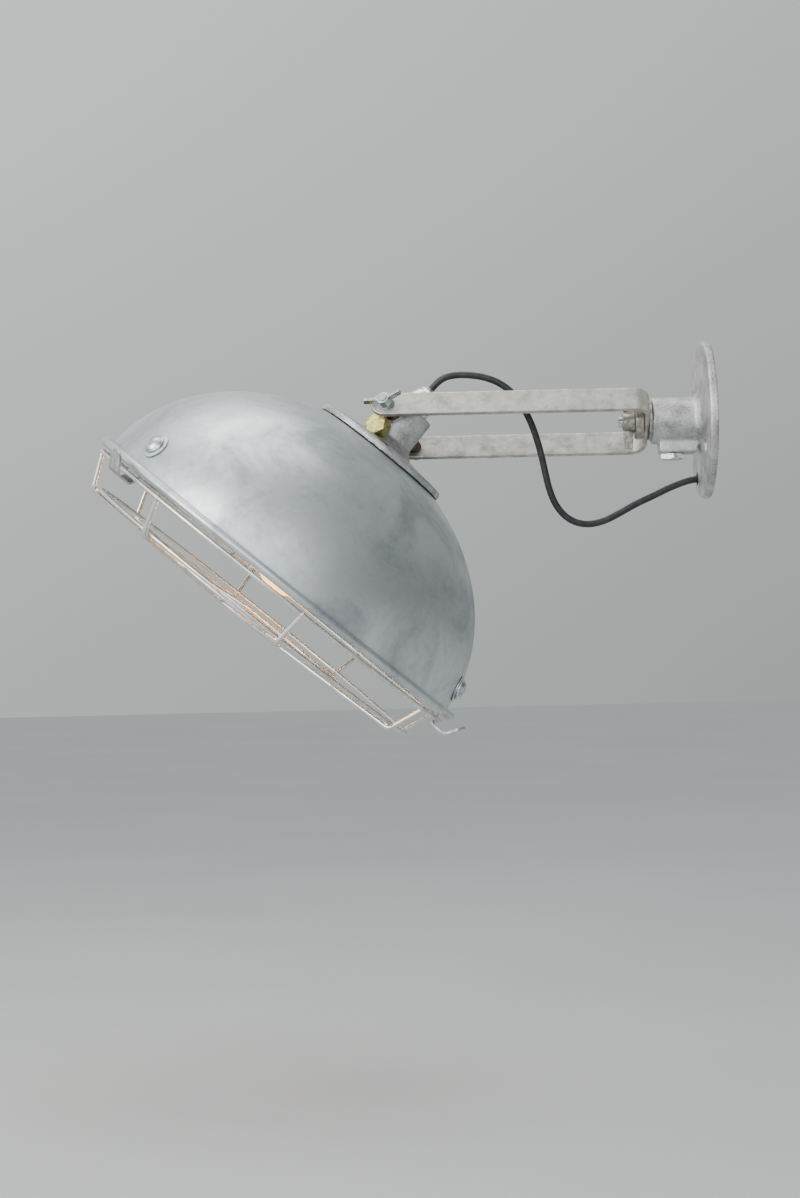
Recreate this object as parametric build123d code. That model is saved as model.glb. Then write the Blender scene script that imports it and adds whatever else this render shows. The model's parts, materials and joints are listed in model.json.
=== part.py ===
from build123d import *
import math
import os

# Swing arm wall sconce, in millimetres.
# The origin is the centre of the wall flange's back face. +X points into the wall, +Z is up, and the arm
# reaches out along -X. The head hangs on a bolt between the two straps of a forked arm.

# ---- driving dimensions ----------------------------------------------------------------------------------
FIT = 0.05  # radial clearance of a shaft in its hole

# The two sand-cast sockets: a round plate with a hollow boss. One is on the wall, one on the shade.
PLATE_R = 75.0
PLATE_EDGE = 8.0
PLATE_RISE = 1.5
WALL_BOSS_R = 22.5
BOSS_END = 55.0
BORE_R = 13.5
LUG_REACH = 32.0
LUG_WIDTH = 24.0
FIX_CIRCLE_R = 49.0
FIX_HOLE_R = 3.2
FIX_ANGLE = -33.4  # places the pair of countersunk wall holes round the flange
CORD_HOLE_Y = 26.0
CORD_HOLE_Z = -54.0
CORD_HOLE_R = 6.0

# The arm: one flat bar bent to a fork, turned about X in its wall joint.
ARM_ROLL = 31.0
BAR_WIDTH = 25.0
BAR_THICK = 5.0
STRAP_HALF_GAP = 32.5
FORK_BEND_R = 15.0
WEB_X = -57.5
STRAP_END = 15.5  # from a pivot hole to the end of its strap
ARM_BOLT_R = 5.0
FRICTION_WASHER_R = 18.0
CLAMP_WASHER_R = 17.0
CLAMP_WASHER_THICK = 8.0

# The pivot: a bolt through both straps and the neck, skewed so that it lies nearly square to the neck.
PIVOT_X = -293.2
PIVOT_SKEW = 20.0
PIVOT_BOLT_R = 4.0
PIVOT_PAD_R = 9.0
PIVOT_PAD_REACH = 22.2
SPACER_R = 7.0
BEVEL_R = 7.5

# The head: its axis lies in the XZ plane and rises at HEAD_RISE from the rim plane to the gland.
HEAD_RISE = 50.0
PIVOT_H = 186.4  # from the rim plane to the pivot, along the head's axis
DOME_A = 202.5
DOME_B = 164.0
DOME_CENTRE_H = -2.5
DOME_FLAT_R = 66.0
DOME_TOP_H = 153.5
DOME_WALL = 1.5
BEAD_R = 4.3
BEAD_CENTRE_R = 208.2
GASKET = 1.2
GASKET_R = 61.0
HEAD_PLATE_R = 70.3
HEAD_BOSS_R = 21.5
HEAD_BOSS_END = 51.0
HEAD_LUG_ANGLE = -126.0
HEAD_LUG_REACH = 22.6
HEAD_SCREW_STATION = 17.2
HEAD_SCREW_FLATS = 21.0

# The guard: a wire cage sprung under the rim by three strip hooks.
WIRE_R = 2.1
TOP_RING_R = 205.0
TOP_RING_H = -9.5
LOW_RING_R = 185.0
LOW_RING_H = -39.0
INNER_RING_R = 118.0
CENTRE_RING_R = 46.0
RIB_ANGLES = [27, 76.5, 125, 168, 214.5, 259, 300, 343]
HOOK_ANGLES = [9, 140, 254]
HOOK_WIDTH = 20.0
HOOK_THICK = 2.0
HOOK_SCREW_H = 25.0

# The cord: its route from the gland to the wall flange, as points of a loose hanging curve.
CORD_R = 3.25
CORD_END_H = 232.0
CORD_SPLIT = 8  # the route's point where the upper length ends and the lower one starts
CORD_ROUTE = [
    (-263.89, 0.0, 34.93),
    (-255.98, 0.0, 44.35),
    (-242.5, 0.0, 48.6),
    (-226.0, 0.0, 48.2),
    (-211.0, 0.0, 45.4),
    (-197.5, 0.0, 39.6),
    (-186.0, 0.5, 30.4),
    (-177.0, 1.5, 18.0),
    (-169.4, 3.0, 3.0),
    (-163.8, 5.0, -13.0),
    (-159.4, 7.0, -30.0),
    (-155.9, 9.0, -47.0),
    (-152.2, 11.0, -64.0),
    (-145.4, 13.0, -79.8),
    (-134.0, 14.5, -91.8),
    (-118.5, 16.0, -96.9),
    (-102.0, 17.5, -94.4),
    (-86.0, 19.0, -86.8),
    (-69.0, 21.0, -77.4),
    (-51.0, 23.0, -69.6),
    (-33.0, 25.0, -61.0),
    (-12.0, 26.0, -54.0),
    (-1.0, 26.0, -54.0),
]

# ---- frames ----------------------------------------------------------------------------------------------
roll = math.radians(ARM_ROLL)
rise = math.radians(HEAD_RISE)
skew = math.radians(PIVOT_SKEW)
HEAD_AXIS = Vector(math.cos(rise), 0, math.sin(rise))
HEAD_ORIGIN = Vector(PIVOT_X, 0, 0) - HEAD_AXIS * PIVOT_H
PIVOT_AXIS = Vector(math.sin(skew), math.cos(skew) * math.cos(roll), -math.cos(skew) * math.sin(roll))

# In each frame local +Z is: out of the wall; across the arm's width; up the head's axis; along the pivot
# bolt, away from the wing nut. In the head's frame local +X points down and towards the wall.
WALL = Plane(origin=(0, 0, 0), x_dir=(0, -1, 0), z_dir=(-1, 0, 0))
ARM = Plane(origin=(0, 0, 0), x_dir=(1, 0, 0), z_dir=(0, math.sin(roll), math.cos(roll)))
HEAD = Plane(origin=HEAD_ORIGIN, x_dir=(math.sin(rise), 0, -math.cos(rise)), z_dir=HEAD_AXIS)
PIVOT = Plane(origin=(PIVOT_X, 0, 0), x_dir=(1, 0, 0), z_dir=PIVOT_AXIS)
CASTING_H = DOME_TOP_H + GASKET
NEAR_HOLE_X = PIVOT_X - (STRAP_HALF_GAP + BAR_THICK / 2) * math.tan(skew)
FAR_HOLE_X = PIVOT_X + (STRAP_HALF_GAP + BAR_THICK / 2) * math.tan(skew)
STRAP_IN = STRAP_HALF_GAP / math.cos(skew)
STRAP_OUT = (STRAP_HALF_GAP + BAR_THICK) / math.cos(skew)
BEVEL_END = STRAP_OUT + BEVEL_R * math.tan(skew) + 0.6


# ---- helpers ---------------------------------------------------------------------------------------------
def turned(points, rounds=()):
    """A solid of revolution about Z from a closed (radius, height) outline; rounds are (corner, radius)."""
    outline = make_face(Polyline(*points, close=True))
    for corner, radius in rounds:
        vertex = outline.vertices().sort_by_distance((*points[corner], 0))[0]
        outline = fillet(vertex, radius)
    return revolve(Plane.XZ * outline, Axis.Z)


def rod(radius, low, high):
    """A cylinder about Z between two heights."""
    return Pos(0, 0, (low + high) / 2) * Cylinder(radius, high - low)


def tube(inner, outer, low, high):
    """A plain ring or sleeve about Z."""
    return rod(outer, low, high) - rod(inner, low - 1, high + 1)


def hexagon(flats, low, high):
    """A hexagonal prism about Z with its corners chamfered like a bolt head's."""
    prism = Pos(0, 0, low) * extrude(RegularPolygon(flats / math.sqrt(3), 6), high - low)
    corner = flats / math.sqrt(3)
    trim = turned([(0, low), (corner, low), (corner, high - 0.9), (flats / 2 - 0.5, high), (0, high)])
    return prism & trim


def ring_wire(radius, height, wire_r):
    """A closed round wire ring about Z."""
    return Pos(0, 0, height) * Torus(radius, wire_r)


def wing_nut(bore, hub_r, hub_h, reach, low, high):
    """A wing nut about Z, base at Z=0; each wing runs out along X to a tip between two heights."""
    hub = turned([(bore, 0), (hub_r, 0), (hub_r * 0.78, hub_h), (bore, hub_h)], [(2, 1.0)])
    wing_points = [
        (hub_r * 0.45, 1.0),
        (hub_r * 1.05, 1.2),
        (reach, low),
        (reach - 1.0, high),
        (hub_r * 1.5, (high + hub_h) / 2),
        (hub_r * 0.7, hub_h * 0.92),
        (hub_r * 0.45, hub_h * 0.92),
    ]
    blade = make_face(Polyline(*wing_points, close=True))
    for index in (3, 2):
        vertex = blade.vertices().sort_by_distance((*wing_points[index], 0))[0]
        blade = fillet(vertex, (high - low) * 0.3)
    wing = extrude(Plane.XZ * blade, hub_r * 0.19, both=True)
    nut = hub + wing + Rot(Z=180) * wing
    return nut - rod(bore, -1, hub_h * 3)


def countersunk(radius, head_r, low, high):
    """A countersunk screw about Z, its flat head at the high end."""
    cone = head_r - radius
    return turned([(0, low), (radius, low), (radius, high - cone), (head_r, high), (0, high)])


# ---- castings --------------------------------------------------------------------------------------------
def fixing_holes(angle, face):
    """Two countersunk through holes on the fixing circle; face is the plate's height there."""
    holes = []
    for turn in (angle, angle + 180):
        sink = Pos(0, 0, face - 1.95) * Cone(FIX_HOLE_R, FIX_HOLE_R + 3.5, 3.5)
        drill = rod(FIX_HOLE_R, -5, 20) + sink + rod(6.7, face - 0.25, face + 6)
        holes.append(Rot(Z=turn) * Pos(FIX_CIRCLE_R, 0, 0) * drill)
    return holes


def set_screw(lug_angle, station, screw_r, reach, flats, thick):
    """A hex set screw that stands on a lug and reaches in to the boss's bore."""
    shank = rod(screw_r - FIT, BORE_R + 0.1, reach + 0.5)
    screw = shank + Rot(Z=30) * hexagon(flats, reach + 0.1, reach + 0.1 + thick)
    return Rot(Z=lug_angle) * Pos(0, 0, station) * Rot(Y=90) * screw


def screw_drill(lug_angle, station, screw_r, reach, flats):
    """The screw's hole and the spot face that lets its head sit square on the lug beside the plate."""
    drill = rod(screw_r, 0, reach + 3) + rod(flats / math.sqrt(3) + 0.5, reach, reach + 16)
    return Rot(Z=lug_angle) * Pos(0, 0, station) * Rot(Y=90) * drill


# ---- wall mount ------------------------------------------------------------------------------------------
WALL_LUG_ANGLE = -90.0  # straight down in the wall frame
WALL_LUG_SPAN = (12.0, 48.0)
WALL_SCREW_STATION = 35.5
WALL_SCREW_FLATS = 22.0
WALL_HOLE_FACE = 8.7


def wall_flange():
    """The cast socket on the wall, back face at Z=0: plate, hollow boss and the lug for its set screw."""
    top = PLATE_EDGE + PLATE_RISE
    casting = turned(
        [
            (0, 0),
            (PLATE_R, 0),
            (PLATE_R, PLATE_EDGE),
            (WALL_BOSS_R + 5, top),
            (WALL_BOSS_R, top + 5),
            (WALL_BOSS_R, BOSS_END),
            (0, BOSS_END),
        ],
        [(2, 2.5), (3, 4.0), (4, 4.0), (5, 2.0)],
    )
    low, high = WALL_LUG_SPAN
    lug = Pos(LUG_REACH / 2, 0, (low + high) / 2) * Box(LUG_REACH, LUG_WIDTH, high - low)
    lug = fillet(lug.faces().sort_by(Axis.X)[-1].edges(), 3.0)
    casting += Rot(Z=WALL_LUG_ANGLE) * lug
    casting -= rod(BORE_R, -1, BOSS_END + 1)
    casting -= screw_drill(WALL_LUG_ANGLE, WALL_SCREW_STATION, 6.0, LUG_REACH, WALL_SCREW_FLATS)
    for hole in fixing_holes(FIX_ANGLE, WALL_HOLE_FACE):
        casting -= hole
    casting -= Pos(-CORD_HOLE_Y, CORD_HOLE_Z, 0) * rod(CORD_HOLE_R, -1, 20)
    return casting


def wall_set_screw():
    return set_screw(WALL_LUG_ANGLE, WALL_SCREW_STATION, 6.0, LUG_REACH, WALL_SCREW_FLATS, 5.2)


def cord_grommet():
    """The rubber grommet that lines the cord's hole in the flange."""
    grommet = tube(CORD_R + 0.35, CORD_HOLE_R - FIT, 0.5, PLATE_EDGE + 0.6)
    return Pos(-CORD_HOLE_Y, CORD_HOLE_Z, 0) * grommet


def spigot_plug():
    """The steel plug that the set screw holds in the wall boss, drilled for the arm bolt."""
    return tube(ARM_BOLT_R + FIT, BORE_R - FIT, 14, BOSS_END - 0.2)


def arm_bolt():
    """The bolt on which the fork turns: its head bears on the plug inside the boss."""
    return hexagon(17, 7.4, 13.9) + rod(ARM_BOLT_R, 13, 86)


def friction_washer():
    return tube(ARM_BOLT_R + FIT, FRICTION_WASHER_R, BOSS_END, -WEB_X)


# ---- arm -------------------------------------------------------------------------------------------------
def arm_fork():
    """The fork in the arm's frame: the bar's thickness lies along Y and its width along Z."""
    inner = STRAP_HALF_GAP
    outer = STRAP_HALF_GAP + BAR_THICK
    near_end = NEAR_HOLE_X - STRAP_END
    far_end = FAR_HOLE_X - STRAP_END
    web_in = WEB_X - BAR_THICK
    points = [
        (near_end, -outer),
        (WEB_X, -outer),
        (WEB_X, outer),
        (far_end, outer),
        (far_end, inner),
        (web_in, inner),
        (web_in, -inner),
        (near_end, -inner),
    ]
    outline = make_face(Polyline(*points, close=True))
    for corner in (1, 2, 5, 6):
        vertex = outline.vertices().sort_by_distance((*points[corner], 0))[0]
        outline = fillet(vertex, FORK_BEND_R if corner < 3 else FORK_BEND_R - BAR_THICK)
    fork = extrude(outline, BAR_WIDTH / 2, both=True)
    for end in (near_end, far_end):
        corners = [e for e in fork.edges().filter_by(Axis.Y) if abs(e.center().X - end) < 0.1]
        fork = fillet(corners, BAR_WIDTH / 2 - 0.2)
    rims = fork.faces().sort_by(Axis.Z)
    fork = fillet(rims[-1].edges() + rims[0].edges(), 0.8)
    fork -= Pos(WEB_X, 0, 0) * Rot(Y=90) * Cylinder(ARM_BOLT_R + FIT, 40)
    return ARM * fork - PIVOT * rod(PIVOT_BOLT_R + FIT, -STRAP_OUT - 8, STRAP_OUT + 8)


def clamp_washer():
    """The thick washer inside the fork, between the web and the wing nut."""
    low = -WEB_X + BAR_THICK
    high = low + CLAMP_WASHER_THICK
    bore = ARM_BOLT_R + FIT
    points = [(bore, low), (CLAMP_WASHER_R, low), (CLAMP_WASHER_R, high), (bore, high)]
    return turned(points, [(1, 1.0), (2, 1.0)])


def arm_wing_nut():
    start = -WEB_X + BAR_THICK + CLAMP_WASHER_THICK
    return Pos(0, 0, start) * Rot(Z=88) * wing_nut(ARM_BOLT_R + FIT, 10.5, 11.5, 27.0, 2.0, 9.5)


def outside_straps(side, reach):
    """A block in the arm's frame that lies outside the near (-1) or far (+1) strap, or between the straps."""
    width = 60.0
    return ARM * Pos(PIVOT_X, side * (reach + width / 2), 0) * Box(160, width, 80)


def pivot_bolt():
    head = hexagon(13, BEVEL_END, BEVEL_END + 5.3)
    return head + rod(PIVOT_BOLT_R, -BEVEL_END - 8.0, BEVEL_END + 1)


def pivot_spacer(side):
    """The sleeve between the neck's pad and the inner face of a strap, cut to the strap's slope."""
    sleeve = tube(PIVOT_BOLT_R + FIT, SPACER_R, PIVOT_PAD_REACH + FIT, STRAP_IN + 6)
    if side < 0:
        sleeve = Rot(X=180) * sleeve
    return PIVOT * sleeve - outside_straps(side, STRAP_HALF_GAP)


def bevel_washer(side):
    """The wedge-shaped washer outside a strap, square to the bolt on its outer face."""
    sleeve = tube(PIVOT_BOLT_R + FIT, BEVEL_R, STRAP_OUT - 6, BEVEL_END)
    if side < 0:
        sleeve = Rot(X=180) * sleeve
    return (PIVOT * sleeve) & outside_straps(side, STRAP_HALF_GAP + BAR_THICK)


def pivot_wing_nut():
    nut = wing_nut(PIVOT_BOLT_R + FIT, 7.8, 6.8, 19.0, 5.2, 11.0)
    return Rot(X=180) * Pos(0, 0, BEVEL_END) * Rot(Z=2) * nut


# ---- head: shade and casting -----------------------------------------------------------------------------
def dome_radius(height):
    """The outer radius of the dome at a height above the rim plane."""
    return DOME_A * math.sqrt(1 - ((height - DOME_CENTRE_H) / DOME_B) ** 2)


def dome_outline():
    """Half of the dome's wall: a part ellipse, a soft shoulder and a flat crown."""
    angle_low = math.degrees(math.asin(-DOME_CENTRE_H / DOME_B))
    angle_high = math.degrees(math.acos(DOME_FLAT_R / DOME_A))
    centre = (0, DOME_CENTRE_H)
    outer = EllipticalCenterArc(centre, DOME_A, DOME_B, angle_low, arc_size=angle_high - angle_low)
    size_in = (DOME_A - DOME_WALL, DOME_B - DOME_WALL)
    inner = EllipticalCenterArc(centre, *size_in, angle_low, arc_size=angle_high - angle_low)
    crown = DOME_TOP_H
    shoulder_r = DOME_FLAT_R - 5
    edges = [
        outer,
        Line(outer @ 1, (shoulder_r, crown)),
        Line((shoulder_r, crown), (0, crown)),
        Line((0, crown), (0, crown - DOME_WALL)),
        Line((0, crown - DOME_WALL), (shoulder_r - 0.4, crown - DOME_WALL)),
        Line((shoulder_r - 0.4, crown - DOME_WALL), inner @ 1),
        inner,
        Line(inner @ 0, outer @ 0),
    ]
    return make_face(edges)


def screw_station(angle):
    """The frame of a hook screw: +Z square out of the dome's wall, at the given place round the rim."""
    radius = dome_radius(HOOK_SCREW_H)
    slope_r = radius / DOME_A**2
    slope_h = (HOOK_SCREW_H - DOME_CENTRE_H) / DOME_B**2
    tilt = math.degrees(math.atan2(slope_r, slope_h))
    return Rot(Z=-angle) * Pos(radius, 0, HOOK_SCREW_H) * Rot(Y=tilt)


def dome_shade():
    shell = revolve(Plane.XZ * dome_outline(), Axis.Z)
    shell += tube(DOME_A - 1.2, BEAD_CENTRE_R, 0, DOME_WALL) + ring_wire(BEAD_CENTRE_R, 0, BEAD_R)
    shell -= rod(BORE_R + 1, DOME_TOP_H - 10, DOME_TOP_H + 10)
    for angle in HOOK_ANGLES:
        shell -= screw_station(angle) * rod(3.2, -6, 6)
    for angle in (90, 270):
        shell -= Rot(Z=angle) * Pos(FIX_CIRCLE_R, 0, 0) * rod(FIX_HOLE_R, DOME_TOP_H - 10, DOME_TOP_H + 10)
    return shell


def head_gasket():
    gasket = tube(BORE_R + 2, GASKET_R, DOME_TOP_H + 0.02, CASTING_H - 0.02)
    for angle in (90, 270):
        gasket -= Rot(Z=angle) * Pos(FIX_CIRCLE_R, 0, 0) * rod(FIX_HOLE_R, DOME_TOP_H - 10, DOME_TOP_H + 10)
    return gasket


HEAD_HOLE_FACE = 6.8


def head_plate():
    """The shade's casting about Z, as cast: a dished plate over the dome's shoulder and a hollow boss."""
    return turned(
        [
            (0, 0),
            (GASKET_R + 0.5, 0),
            (HEAD_PLATE_R, -2.6),
            (HEAD_PLATE_R, 4.0),
            (29.0, 9.4),
            (HEAD_BOSS_R, 17),
            (HEAD_BOSS_R, HEAD_BOSS_END),
            (0, HEAD_BOSS_END),
        ],
        [(3, 2.8), (4, 6.0), (5, 6.0), (6, 2.0)],
    )


def head_socket():
    """The casting on the shade, with flat pads either side of its neck and the pivot bolt's cross bore."""
    casting = head_plate()
    lug = Rot(Y=90) * rod(9.5, 0, HEAD_LUG_REACH)
    casting += Rot(Z=HEAD_LUG_ANGLE) * Pos(0, 0, HEAD_SCREW_STATION) * lug
    for hole in fixing_holes(90, HEAD_HOLE_FACE):
        casting -= hole
    socket = HEAD * Pos(0, 0, CASTING_H) * casting
    pads = PIVOT * rod(PIVOT_PAD_R, -PIVOT_PAD_REACH, PIVOT_PAD_REACH)
    socket += pads
    drill = screw_drill(HEAD_LUG_ANGLE, HEAD_SCREW_STATION, 5.0, HEAD_LUG_REACH, HEAD_SCREW_FLATS)
    socket -= HEAD * Pos(0, 0, CASTING_H) * drill
    socket -= HEAD * rod(BORE_R, CASTING_H - 1, CASTING_H + HEAD_BOSS_END + 1)
    # Spot faces, so that the skewed spacers clear the round of the neck.
    spot_face = rod(PIVOT_PAD_R + 1.5, PIVOT_PAD_REACH, PIVOT_PAD_REACH + 14)
    socket -= PIVOT * spot_face
    socket -= PIVOT * Rot(X=180) * spot_face
    return socket - PIVOT * rod(PIVOT_BOLT_R + FIT, -40, 40)


def head_set_screw():
    screw = set_screw(HEAD_LUG_ANGLE, HEAD_SCREW_STATION, 5.0, HEAD_LUG_REACH, HEAD_SCREW_FLATS, 11.5)
    return Pos(0, 0, CASTING_H) * screw


def casting_screws():
    screw = countersunk(3.0, 6.2, DOME_TOP_H - 12, CASTING_H + HEAD_HOLE_FACE - 0.1)
    return [Rot(Z=angle) * Pos(FIX_CIRCLE_R, 0, 0) * screw for angle in (90, 270)]


def casting_nuts():
    high = DOME_TOP_H - DOME_WALL - 0.05
    nut = Pos(0, 0, high) * Rot(X=180) * hexagon(10, 0, 5) - rod(3.0 + FIT, high - 20, high + 1)
    return [Rot(Z=angle) * Pos(FIX_CIRCLE_R, 0, 0) * nut for angle in (90, 270)]


# ---- head: lamp and wiring parts -------------------------------------------------------------------------
TUBE_R = BORE_R - FIT
HOLDER_TOP_H = 136.0
HOLDER_END_H = 84.0
BULB_TIP_H = -12.0
BULB_R = 35.0


def nipple_tube():
    """The threaded tube that carries the lampholder under the casting."""
    return tube(TUBE_R - 2.5, TUBE_R, HOLDER_TOP_H + 0.1, PIVOT_H - PIVOT_BOLT_R - 5)


def nipple_locknut():
    high = DOME_TOP_H - DOME_WALL - 0.05
    return Pos(0, 0, high) * Rot(X=180) * hexagon(36, 0, 5) - rod(TUBE_R + FIT, high - 20, high + 1)


def lampholder_body():
    """The porcelain lampholder: a closed cap with a skirt round the bulb's screw shell."""
    points = [
        (0, HOLDER_TOP_H),
        (20, HOLDER_TOP_H),
        (27, HOLDER_TOP_H - 12),
        (27, HOLDER_END_H),
        (19.5, HOLDER_END_H),
        (19.5, HOLDER_TOP_H - 16),
        (0, HOLDER_TOP_H - 16),
    ]
    return turned(points, [(1, 4.0), (2, 4.0), (3, 2.0)])


def lampholder_shell():
    """The threaded brass shell inside the porcelain."""
    return tube(14.4, 15.2, HOLDER_END_H + 5, HOLDER_TOP_H - 16.1)


def lampholder_contact():
    return rod(4.0, HOLDER_TOP_H - 21, HOLDER_TOP_H - 16.1)


def bulb_cap():
    """The screw cap of the bulb, with its centre contact."""
    return turned([(0, 89), (13.2, 89), (13.2, 109), (8, 113), (4, 114.6), (0, 114.6)], [(2, 1.0)])


def bulb_glass():
    """The glass envelope: a round globe drawn in to a neck, 1 mm thick."""
    centre_h = BULB_TIP_H + BULB_R

    def outline(shrink):
        radius = BULB_R - shrink
        neck_r = 12.9 - shrink
        top = 88.9 - shrink
        globe = CenterArc((0, centre_h), radius, -90, 118)
        shoulder = TangentArc(globe @ 1, (neck_r, top - 8), tangent=globe % 1)
        neck = Line(shoulder @ 1, (neck_r, top))
        lid = Line(neck @ 1, (0, top))
        axis = Line(lid @ 1, globe @ 0)
        return revolve(Plane.XZ * make_face([globe, shoulder, neck, lid, axis]), Axis.Z)

    return outline(0.0) - outline(1.0)


def bulb_filament():
    """The filament's support stem and its zigzag wire, joined as one mount."""
    stem = turned([(0, 40), (2.2, 40), (4.5, 86), (0, 86)])
    count = 8
    ring_r = 15.0
    wires = []
    for index in range(count):
        angle = 2 * math.pi * index / count
        height = 44 if index % 2 else 16
        wires.append((ring_r * math.cos(angle), ring_r * math.sin(angle), height))
    path = FilletPolyline(*wires, radius=1.2)
    coil = sweep(Plane(path @ 0, z_dir=path % 0) * Circle(0.5), path)
    spokes = [
        Pos(0, 0, 44) * Rot(Z=360 * index / count) * Pos(ring_r / 2, 0, 0) * Rot(Y=90) * Cylinder(0.5, ring_r)
        for index in range(1, count, 2)
    ]
    for spoke in spokes:
        coil += spoke
    return coil + stem


def gland_body():
    """The round aluminium gland screwed into the end of the neck."""
    low = CASTING_H + HEAD_BOSS_END
    points = [
        (CORD_R + 0.1, low - 8),
        (BORE_R - FIT, low - 8),
        (BORE_R - FIT, low + 0.05),
        (14.2, low + 0.05),
        (14.2, low + 12),
        (9.5, 226.5),
        (CORD_R + 0.1, 226.5),
    ]
    return turned(points, [(4, 5.0), (5, 2.0)])


def gland_nut():
    """The small nut that grips the cord, tapered towards the cord."""
    points = [(CORD_R + 0.1, 226.6), (8.4, 226.6), (8.4, 229.4), (5.0, CORD_END_H), (CORD_R + 0.1, CORD_END_H)]
    return turned(points, [(2, 0.8)])


# ---- head: guard -----------------------------------------------------------------------------------------
def hook_strip():
    """One strip hook at azimuth 0: down inside the wall, under the bead and out and up to a tongue."""
    line = FilletPolyline(
        (190.0, 42),
        (195.2, 26),
        (199.1, 2),
        (199.9, -16.0),
        (217.5, -16.0),
        (228.5, 1.0),
        radius=[20, 20, 5.4, 7],
    )
    strip = extrude(Plane.XZ * trace(line, HOOK_THICK), HOOK_WIDTH / 2, both=True)
    # The tongue's tip is round and the strip narrows a little towards it.
    tip = [e for e in strip.edges() if e.center().X > 224 and abs(e.center().Y) > HOOK_WIDTH / 2 - 0.1 and e.length < 3]
    if len(tip) == 2:
        strip = fillet(tip, HOOK_WIDTH / 2 - 1.0)
    return strip


def guard_hooks():
    strips = []
    for angle in HOOK_ANGLES:
        strips.append(Rot(Z=-angle) * hook_strip() - screw_station(angle) * rod(3.2, -12, 6))
    return strips


def hook_washers():
    washer = turned([(3.1, 0.05), (13, 0.05), (13, 0.9), (10, 1.7), (3.1, 1.7)], [(3, 0.8)])
    return [screw_station(angle) * washer for angle in HOOK_ANGLES]


def hook_screws():
    """Round-headed screws through the washer, the wall and the hook."""
    dome = turned([(0, 1.75), (10, 1.75), (10, 3.0), (6.5, 6.4), (0, 7.6)], [(2, 1.0), (3, 6.0)])
    screw = dome + rod(3.0, -14, 2)
    return [screw_station(angle) * screw for angle in HOOK_ANGLES]


def hook_nuts():
    nut = hexagon(10, 6.1, 10.9) - rod(3.0 + FIT, 0, 20)
    return [screw_station(angle) * Rot(X=180) * nut for angle in HOOK_ANGLES]


def guard_ribs():
    """Bent wires: each hangs from the top ring, turns under the lower ring and runs in to the centre ring."""
    ribs = []
    drop = LOW_RING_H - 2 * WIRE_R
    for angle in RIB_ANGLES:
        line = FilletPolyline(
            (TOP_RING_R, TOP_RING_H, 0),
            (LOW_RING_R + 5.0, drop, 0),
            (CENTRE_RING_R, drop - 6, 0),
            radius=7.0,
        )
        line = Plane.XZ * line
        wire = sweep(Plane(line @ 0, z_dir=line % 0) * Circle(WIRE_R), line)
        ribs.append(Rot(Z=-angle) * wire)
    return ribs


def guard_ring(radius, height):
    return ring_wire(radius, height, WIRE_R)


# ---- cord ------------------------------------------------------------------------------------------------
def corner_radii(points):
    """For each inner point of a route, the largest arc that its two straight runs allow."""
    radii = []
    for before, here, after in zip(points, points[1:], points[2:]):
        run_in = Vector(*here) - Vector(*before)
        run_out = Vector(*after) - Vector(*here)
        turn = math.radians(run_in.get_angle(run_out))
        radii.append(0.45 * min(run_in.length, run_out.length) / math.tan(turn / 2))
    return radii


def cord_length(points):
    """A plain tube of flex along a stretch of the route, with its arcs as large as the runs allow."""
    radii = corner_radii(points)
    line = FilletPolyline(*points, radius=radii)
    flex = sweep(Plane(line @ 0, z_dir=line % 0) * Circle(CORD_R), line)
    ratio = flex.volume / (math.pi * CORD_R**2 * line.length)
    print("cord length", round(line.length, 1), "volume ratio", round(ratio, 4))
    print("  radii", [round(radius, 1) for radius in radii])
    return flex


def split_point():
    """The middle of the run where the two lengths of cord meet, so that both ends run straight."""
    here = Vector(*CORD_ROUTE[CORD_SPLIT])
    after = Vector(*CORD_ROUTE[CORD_SPLIT + 1])
    return tuple(here + (after - here) * 0.5)


# ---- nodes -----------------------------------------------------------------------------------------------
def placed(frame, shape):
    """Move a shape, or each of a list of shapes, from a local frame to its place on the lamp."""
    if isinstance(shape, list):
        return [frame * piece for piece in shape]
    return frame * shape


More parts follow.
